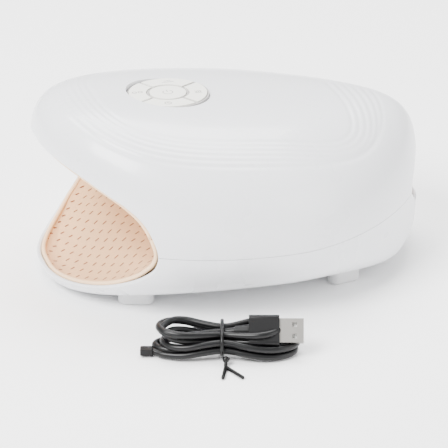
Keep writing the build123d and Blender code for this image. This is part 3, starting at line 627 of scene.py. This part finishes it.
@dataclass
class Shells:
    """Upper and lower moulded shells, with round-edged rims at both openings."""

    form: PodForm
    wall: float = 2.4
    seam_gap: float = 0.24
    seam_round: float = 0.2
    along_count: int = 250
    around_count: int = 230
    rim_steps: int = 8
    lower_around_count: int = 110
    panel_x: float = -33.1
    panel_hole_radius: float = 22.0
    grooves: RingGrooves = field(default_factory=RingGrooves)

    def outer_grid(self, low: float, high: float, columns: int) -> np.ndarray:
        """Grid of the outer surface between two section angles, from the mouth's rim to the rear rim.

        Args:
            low: First angle round the section, in degrees.
            high: Last angle, in degrees.
            columns: Number of lines along the pod.

        Returns:
            Array of rows (along), columns (around) and coordinates.
        """
        dense = np.radians(np.linspace(low, high, SECTION_SAMPLES))
        section = self.form.surface(np.zeros_like(dense), dense)
        shares = even_steps(section, columns)
        angles = np.radians(low + shares * (high - low))
        middle = math.radians((low + high) / 2)
        trims = [self.form.trim(self.form.surface, angle) for angle in angles]
        start, end = self.form.trim(self.form.surface, middle)
        dense_turn = np.linspace(start, end, SPINE_SAMPLES)
        spine = self.form.surface(dense_turn, np.full_like(dense_turn, middle))
        rows = even_steps(spine, self.along_count)
        grid = np.zeros((self.along_count, columns, 3))
        for column, (angle, (first, last)) in enumerate(zip(angles, trims)):
            turns = first + rows * (last - first)
            grid[:, column] = self.form.surface(turns, np.full_like(turns, angle))
        grid[:, (0, -1), 2] = self.form.waist_z + math.copysign(self.seam_gap / 2, high)
        return grid

    def rolled_edge(self, edge: np.ndarray, inward: np.ndarray, normal: np.ndarray) -> np.ndarray:
        """Rows that turn a rim over from the outer face to the inner face in a half round.

        Args:
            edge: The rim's points on the outer surface.
            inward: Unit directions in the surface, from the rim into the shell.
            normal: Outward unit normals at the rim.

        Returns:
            Rows of points from the outer face to the inner face.
        """
        radius = self.wall / 2
        centre = edge + radius * inward - radius * normal
        rows = []
        for step in range(self.rim_steps + 1):
            angle = math.pi * step / self.rim_steps
            rows.append(centre - radius * math.sin(angle) * inward + radius * math.cos(angle) * normal)
        return np.array(rows)

    def solid(self, name: str, grid: np.ndarray, grooved: bool) -> bpy.types.Object:
        """Close a grid into a shell with a wall and rolled rims.

        Args:
            name: Object name.
            grid: Outer surface grid.
            grooved: True where the ring grooves are sunk into it.

        Returns:
            The shell object.
        """
        normal = grid_normals(grid)
        outward = grid - np.array([0, 0, self.form.waist_z])
        if (normal * outward).sum() < 0:
            normal = -normal
        rims = []
        for row in (0, -1):
            tangent = np.gradient(grid[row], axis=0)
            tangent /= np.linalg.norm(tangent, axis=-1, keepdims=True)
            inward = np.cross(normal[row], tangent)
            sense = np.sign((inward * (grid[len(grid) // 2] - grid[row])).sum(axis=-1, keepdims=True))
            rims.append(self.rolled_edge(grid[row], inward * sense, normal[row]))
        body = grid[2:-2]
        body_normal = normal[2:-2]
        if grooved:
            body = body - self.grooves.sink(body)[..., None] * body_normal
        inner = grid[2:-2] - self.wall * body_normal
        loop = np.concatenate([rims[0][::-1], body, rims[1], inner[::-1]])
        rows, columns = loop.shape[:2]
        points = loop.reshape(-1, 3)
        faces = grid_faces(rows, columns)
        last = (rows - 1) * columns
        faces += [(last + c, last + c + 1, c + 1, c) for c in range(columns - 1)]
        count_body = len(body)
        roll = self.rim_steps + 1
        for side in (0, columns - 1):
            outer_rows = list(range(roll, roll + count_body))
            inner_rows = list(range(rows - 1, rows - 1 - count_body, -1))
            for step in range(count_body - 1):
                faces.append((outer_rows[step] * columns + side, outer_rows[step + 1] * columns + side,
                              inner_rows[step + 1] * columns + side, inner_rows[step] * columns + side))
            front = [row * columns + side for row in range(roll)]
            faces.append(tuple(front + [outer_rows[0] * columns + side, inner_rows[0] * columns + side]))
            rear = [row * columns + side for row in range(roll + count_body, 2 * roll + count_body)]
            faces.append(tuple([outer_rows[-1] * columns + side] + rear + [inner_rows[-1] * columns + side]))
        shell = mesh_object(name, points, faces, WHITE_ABS)
        return shell

    def finish_edges(self, shell: bpy.types.Object) -> None:
        """Round the edges along the parting line and keep broad faces smooth."""
        edge = shell.modifiers.new("edges", "BEVEL")
        edge.width = self.seam_round * MM
        edge.segments = 2
        edge.limit_method = "ANGLE"
        edge.angle_limit = math.radians(55)
        edge.use_clamp_overlap = True
        even = shell.modifiers.new("even_shading", "WEIGHTED_NORMAL")
        even.keep_sharp = True

    def build(self) -> None:
        """Build both shells, cut the panel seat, and let them stand for the CAD shells."""
        upper = self.solid("upper_shell_moulding",
                           self.outer_grid(0, 180, self.around_count), grooved=True)
        panel = round_cutter("panel_cut", (self.panel_x, 0, 0), self.panel_hole_radius,
                             self.form.waist_z + 40, self.form.waist_z + 90)
        cut_away(upper, [panel])
        self.finish_edges(upper)
        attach(upper, "housing")
        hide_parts("upper_shell")
        LOG.info("upper shell with %d rings", self.grooves.count)
        lower = self.solid("lower_shell_moulding",
                           self.outer_grid(0, -180, self.lower_around_count), grooved=False)
        self.finish_edges(lower)
        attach(lower, "housing")
        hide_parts("lower_shell")
        LOG.info("lower shell")


@dataclass(frozen=True)
class ClothCut:
    """One panel's flat cut, stated in metres; it was read off the modelled panel, not off a real one."""

    width: float
    length: float
    area: float


BACK_CUT = ClothCut(0.231, 0.229, 0.0289)
PALM_CUT = ClothCut(0.217, 0.215, 0.0266)


@dataclass
class Lining:
    """The hand tunnel's cloth: one panel over the hand and one under it, each with a bound edge."""

    form: PodForm
    stations: tuple[tuple[float, float, float, float], ...] = (
        (0, 3, 97, -8), (13, 5, 95, -8), (26, 8, 90, -6), (38, 13.5, 82, -3), (48, 19.5, 75, 2.5),
        (58, 23, 69, 7),
        (84, 26, 63, 16), (115, 27.5, 59, 20), (150, 29, 56.5, 18), (172, 29.5, 55, 13),
        (190, 30, 54, 6), (212, 30, 53, 2))
    roundness: float = 3.0
    shell_wall: float = 2.5
    clearance: float = 0.5
    cloth: float = 1.1
    binding_radius: float = 1.2
    rows: int = 120
    columns: int = 110
    edge_setback: float = 0.2

    def tube(self, turn: np.ndarray, angle: np.ndarray) -> np.ndarray:
        """Point of the cloth's outer face, kept inside the shells.

        Args:
            turn: Position along the pod as an angle.
            angle: Angle round the section, 0 at the waist on the far side.

        Returns:
            Array of points in millimetres.
        """
        inset = self.shell_wall + self.clearance
        x = (self.form.tail_x - inset) * np.sin(turn)
        table = np.array(self.stations, float)
        distance = x - self.form.nose_x
        floor, ceiling, beside = [np.interp(distance, table[:, 0], table[:, k]) for k in (1, 2, 3)]
        wide = self.form.size(x, self.shell_wall)[0] - beside + self.cloth
        tall = (ceiling - floor) / 2 + self.cloth
        across, high = np.cos(angle), np.sin(angle)
        y = wide * np.sign(across) * np.abs(across) ** (2 / self.roundness)
        z = (floor + ceiling) / 2 + tall * np.sign(high) * np.abs(high) ** (2 / self.roundness)
        limit_wide, rise, drop, upper, lower = self.form.size(x, inset)
        above = z > self.form.waist_z
        power = np.where(above, upper, lower)
        height = np.where(above, rise, drop)
        reach = (np.abs(y) / limit_wide) ** power + (np.abs(z - self.form.waist_z) / height) ** power
        pull = np.minimum(np.maximum(reach, TINY) ** (-1 / power), 1)
        return np.stack([x, y * pull, self.form.waist_z + (z - self.form.waist_z) * pull], axis=-1)

    def panel(self, name: str, node: str, low: float, high: float, cut: ClothCut) -> None:
        """Build one cloth panel and its binding.

        Args:
            name: Object name.
            node: CAD node that it stands for.
            low: First angle round the section, in degrees.
            high: Last angle, in degrees.
            cut: The panel's stated flat cut.
        """
        angles = np.radians(np.linspace(low, high, self.columns))
        grid = np.zeros((self.rows, self.columns, 3))
        for column, angle in enumerate(angles):
            first, last = self.form.trim(self.tube, angle)
            reach = self.form.tail_x * max(math.cos(first), 0.2)
            turns = np.linspace(first + self.edge_setback / reach, last - 0.01, self.rows)
            grid[:, column] = self.tube(turns, np.full_like(turns, angle))
        steps_around = np.linalg.norm(np.diff(grid, axis=1), axis=-1)
        around = np.concatenate([np.zeros((self.rows, 1)), np.cumsum(steps_around, axis=1)], axis=1)
        around -= around[:, self.columns // 2][:, None]
        cloth = mesh_object(name, grid.reshape(-1, 3), grid_faces(self.rows, self.columns), BEIGE_MESH)
        layout = cloth.data.uv_layers.new(name="cloth_mm")
        along = grid[..., 0] - self.form.nose_x
        flat_layout = np.stack([around, along], axis=-1).reshape(-1, 2)
        corners = np.zeros(len(cloth.data.loops), int)
        cloth.data.loops.foreach_get("vertex_index", corners)
        layout.data.foreach_set("uv", flat_layout[corners].astype(np.float32).ravel())
        thick = cloth.modifiers.new("thickness", "SOLIDIFY")
        thick.thickness = self.cloth * MM
        thick.offset = 0
        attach(cloth, "housing")
        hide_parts(node)
        binding = self.binding(name + "_binding", grid[0])
        LOG.info("%s cut %.3f x %.3f m", name, cut.width, cut.length)

    def binding(self, name: str, rim: np.ndarray) -> bpy.types.Object:
        """Rounded knit edge that follows the mouth."""
        line = tube_mesh(name, rim, self.binding_radius, BEIGE_BINDING)
        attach(line, "housing")
        return line

    def build(self) -> None:
        """Build both panels."""
        self.panel("back_cloth", "back_fabric", 0.02, 179.98, BACK_CUT)
        self.panel("palm_cloth", "palm_fabric", 180.02, 359.98, PALM_CUT)


def tube_mesh(name: str, line: np.ndarray, radius: float, finish: Finish,
              sides: int = 12) -> bpy.types.Object:
    """Round strand along a line, closed at its ends.

    Args:
        name: Object name.
        line: Points in millimetres.
        radius: Radius in millimetres.
        finish: Its finish.
        sides: Sides of its section.

    Returns:
        The strand object.
    """
    tangent = np.gradient(line, axis=0)
    tangent /= np.linalg.norm(tangent, axis=-1, keepdims=True)
    side = np.cross(tangent, [0.0, 0.0, 1.0])
    side /= np.maximum(np.linalg.norm(side, axis=-1, keepdims=True), 1e-6)
    lift = np.cross(side, tangent)
    angles = np.linspace(0, math.tau, sides, endpoint=False)
    ring = np.cos(angles)[None, :, None] * side[:, None] + np.sin(angles)[None, :, None] * lift[:, None]
    points = (line[:, None] + radius * ring).reshape(-1, 3)
    faces = grid_faces(len(line), sides, closed=True)
    faces.append(tuple(range(sides)))
    faces.append(tuple(range(len(points) - sides, len(points))))
    return mesh_object(name, points, faces, finish)


class Symbol(Enum):
    """Plain generic marks on the keys."""

    POWER = "power_key"
    WAVES = "heat_key"
    BARS = "mode_key"
    DOTS = "strength_key"
    DIAL = "timer_key"


@dataclass
class KeyMarks:
    """Printed generic marks on the five keys."""

    panel_x: float = -33.1
    panel_turn: float = -15.0
    place_radius: float = 15.9
    line_width: float = 0.45
    lift: float = 0.04

    def arc(self, radius: float, start: float, end: float,
            centre: tuple[float, float] = (0, 0)) -> np.ndarray:
        """Points of an arc in plan, in millimetres and degrees."""
        angles = np.radians(np.linspace(start, end, 28))
        return np.stack([centre[0] + radius * np.cos(angles), centre[1] + radius * np.sin(angles)], axis=-1)

    def lines(self, symbol: Symbol) -> list[np.ndarray]:
        """Plan lines of a mark about its own middle."""
        if symbol is Symbol.POWER:
            return [self.arc(2.6, 125, 415), np.array([[0, 0.4], [0, 3.2]])]
        if symbol is Symbol.DOTS:
            return [self.arc(1.1, 0, 360, (-1.6, 0)), self.arc(1.1, 0, 360, (1.6, 0))]
        if symbol is Symbol.BARS:
            return [np.array([[-3.2, -0.9], [3.2, -0.9]]), np.array([[-1.8, 0.9], [1.8, 0.9]])]
        if symbol is Symbol.WAVES:
            sway = np.linspace(-1.8, 1.8, 24)
            return [np.stack([x + 0.35 * np.sin(sway * 2.6), sway], axis=-1) for x in (-1.2, 0.0, 1.2)]
        return [self.arc(1.7, 0, 360), np.array([[0, 1.2], [0, 0]]), np.array([[0, 0], [0.9, 0]])]

    def build(self) -> None:
        """Print a mark on every key; it moves with its key."""
        directions = {Symbol.WAVES: 0, Symbol.BARS: 90, Symbol.DOTS: 180, Symbol.DIAL: 270}
        for symbol in Symbol:
            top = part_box(symbol.value)[1].z / MM
            middle = np.array([self.panel_x, 0.0])
            if symbol in directions:
                angle = math.radians(directions[symbol] + self.panel_turn)
                middle = middle + self.place_radius * np.array([math.cos(angle), math.sin(angle)])
            for number, line in enumerate(self.lines(symbol)):
                points, faces = self.ribbon(middle + line, top + self.lift)
                mark = mesh_object(f"{symbol.value}_mark_{number}", points, faces, KEY_INK)
                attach(mark, symbol.value + "_body")

    def ribbon(self, line: np.ndarray, height: float) -> tuple[np.ndarray, list[tuple[int, ...]]]:
        """Flat printed line of even width."""
        along = np.gradient(line, axis=0)
        along /= np.maximum(np.linalg.norm(along, axis=-1, keepdims=True), TINY)
        aside = np.stack([-along[:, 1], along[:, 0]], axis=-1) * self.line_width / 2
        rows = np.stack([line - aside, line + aside], axis=1)
        points = np.concatenate([rows, np.full(rows.shape[:2] + (1,), height)], axis=-1)
        return points.reshape(-1, 3), grid_faces(len(line), 2)


@dataclass
class Turn:
    """One turn of the folded cord: its reach at either end, its width, its height and its waist place."""

    left: float
    right: float
    half_width: float
    height: float
    waist_y: float
    waist_z: float


@dataclass
class CableHank:
    """The charging cord: folded into long turns and tied at its waist."""

    place: tuple[float, float, float] = (-36.0, -111.0, -17.4)
    diameter: float = 3.6
    length: float = 767.0
    waist_x: float = -1.5
    pinch_reach: float = 15.0
    steps_per_turn: int = 20
    turns: tuple[Turn, ...] = (
        Turn(34.0, 35.0, 14.0, 2.4, 8.3, 6.0), Turn(31.0, 36.0, 13.8, 6.4, 8.0, 9.9),
        Turn(35.0, 30.0, 10.0, 4.3, 4.4, 4.3), Turn(29.5, 32.5, 10.4, 10.2, 4.4, 8.0),
        Turn(33.0, 27.5, 13.2, 14.4, 3.7, 11.7))

    def to_row(self, point) -> Point:
        """From the hank's own frame to the row frame, in metres."""
        angle = math.radians(self.place[2])
        x = self.place[0] + point[0] * math.cos(angle) - point[1] * math.sin(angle)
        y = self.place[1] + point[0] * math.sin(angle) + point[1] * math.cos(angle)
        return (x * MM, y * MM, point[2] * MM)

    def turn_point(self, share: float) -> Point:
        """Place along the folded turns; share counts whole turns from the first left end."""
        number = min(int(share), len(self.turns) - 1)
        here = self.turns[number]
        after = self.turns[min(number + 1, len(self.turns) - 1)]
        inside = share - number
        blend = min(max((inside - 0.55) / 0.4, 0.0), 1.0)
        blend = blend * blend * (3 - 2 * blend)

        def value(name: str) -> float:
            """Value that passes from this turn to the next one."""
            return getattr(here, name) * (1 - blend) + getattr(after, name) * blend

        angle = math.pi + math.tau * inside
        across, along = math.sin(angle), math.cos(angle)
        reach = value("right") if along > 0 else value("left")
        x = reach * math.copysign(abs(along) ** 0.95, along)
        pinch = math.exp(-((x - self.waist_x) / self.pinch_reach) ** 2)
        width = value("half_width") * (1 - pinch) + value("waist_y") * pinch
        y = width * math.copysign(abs(across) ** 0.95, across)
        z = value("height") * (1 - pinch) + value("waist_z") * pinch
        return (x, y, z)

    def build(self) -> None:
        """Build the cord as one open curve and log its stated length beside the modelled one."""
        start = [(-35.5, -4.0, 2.8), (-33.0, -5.4, 2.6), (-30.5, -7.4, 2.4)]
        count = len(self.turns) * self.steps_per_turn
        middle = [self.turn_point(step / self.steps_per_turn) for step in range(3, count - 1)]
        end = [(-32.6, -2.0, 14.2), (-29.6, -6.6, 13.9), (-24.0, -8.6, 13.4), (-16.0, -6.6, 12.8),
               (-8.0, -2.8, 12.2), (-1.5, -1.2, 12.0), (2.5, -2.2, 12.9), (5.2, -3.0, 13.6)]
        points = [self.to_row(point) for point in start + middle + end]
        curve = bpy.data.curves.new("charging_cord", "CURVE")
        curve.dimensions = "3D"
        spline = curve.splines.new("NURBS")
        spline.points.add(len(points) - 1)
        for knot, point in zip(spline.points, points):
            knot.co = (*point, 1.0)
        spline.order_u = 3
        spline.use_endpoint_u = True
        spline.resolution_u = 6
        curve.bevel_depth = self.diameter * MM / 2
        curve.bevel_resolution = 5
        curve.use_fill_caps = True
        curve.materials.append(CORD_PVC.material())
        cord = bpy.data.objects.new("charging_cord", curve)
        bpy.context.scene.collection.objects.link(cord)
        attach(cord, "charging_cable")
        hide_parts("cable_hank")
        LOG.info("cord stated %.0f mm, modelled %.0f mm", self.length, self.curve_length(cord) / MM)

    def curve_length(self, cord: bpy.types.Object) -> float:
        """Length of the cord's centreline, in metres."""
        return cord.data.splines[0].calc_length()


@dataclass
class Studio:
    """Camera, floor and lights."""

    focus: tuple[float, float, float] = (4.24, 0.0, 55.0)
    azimuth: float = 17.43
    elevation: float = 22.53
    distance: float = 1200.0
    lens: float = 180.5
    pan: float = 0.30
    tilt: float = -1.66

    def camera(self) -> None:
        """Set the camera with its aim a little off the pod's middle."""
        turn, rise = math.radians(self.azimuth), math.radians(self.elevation)
        back = Vector((-math.sin(turn) * math.cos(rise), -math.cos(turn) * math.cos(rise), math.sin(rise)))
        right = Vector((math.cos(turn), -math.sin(turn), 0.0))
        up = back.cross(right)
        view = -back + right * math.tan(math.radians(-self.pan)) + up * math.tan(math.radians(self.tilt))
        data = bpy.data.cameras.new("camera")
        data.lens = self.lens
        data.clip_end = 20
        item = bpy.data.objects.new("camera", data)
        bpy.context.scene.collection.objects.link(item)
        item.location = (Vector(self.focus) + back * self.distance) * MM
        item.rotation_euler = view.to_track_quat("-Z", "Y").to_euler()
        bpy.context.scene.camera = item

    def light(self, name: str, where: Point, size: float, watts: float) -> None:
        """Add a soft area light that faces the pod."""
        data = bpy.data.lights.new(name, "AREA")
        data.size = size
        data.energy = watts
        item = bpy.data.objects.new(name, data)
        bpy.context.scene.collection.objects.link(item)
        item.location = where
        item.rotation_euler = (Vector((0, 0, 0.05)) - Vector(where)).to_track_quat("-Z", "Y").to_euler()

    def build(self) -> None:
        """Build camera, floor sweep and lights."""
        self.camera()
        corners = FLOOR_REACH_MM * np.array([[-1.0, -1, 0], [1, -1, 0], [1, 1, 0], [-1, 1, 0]])
        floor = mesh_object("floor", corners, [(0, 1, 2, 3)], FLOOR_PAPER)
        self.light("key_light", (-0.9, -0.5, 1.1), 0.7, 46.0)
        self.light("fill_light", (0.9, -0.9, 0.5), 0.9, 8.0)
        self.light("top_light", (0.1, 0.5, 1.2), 1.0, 34.0)
        world = bpy.data.worlds.new("studio")
        world.use_nodes = True
        world.node_tree.nodes["Background"].inputs["Color"].default_value = (1, 1, 1, 1)
        world.node_tree.nodes["Background"].inputs["Strength"].default_value = 1.35
        bpy.context.scene.world = world


def dress_nodes() -> None:
    """Give every shown CAD node its finish and rounded edges."""
    for name, finish in NODE_FINISHES.items():
        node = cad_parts[name]
        node.data.materials.clear()
        node.data.materials.append(finish.material())
        weld = node.modifiers.new("weld", "WELD")
        weld.merge_threshold = WELD_DISTANCE
        if name in ROUNDED_NODES:
            edge = node.modifiers.new("edges", "BEVEL")
            edge.width = ROUNDED_NODES[name] * MM
            edge.segments = 3
            edge.limit_method = "ANGLE"
            edge.angle_limit = math.radians(40)
    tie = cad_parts["twist_tie"]
    tie.data.materials.clear()
    tie.data.materials.append(TIE_PLASTIC.material())


def main() -> None:
    """Build the whole scene."""
    logging.basicConfig(level=logging.INFO)
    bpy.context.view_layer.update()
    Studio().build()
    CableHank().build()
    form = PodForm()
    Shells(form).build()
    Lining(form).build()
    KeyMarks().build()
    dress_nodes()


if __name__ == "__main__":
    main()
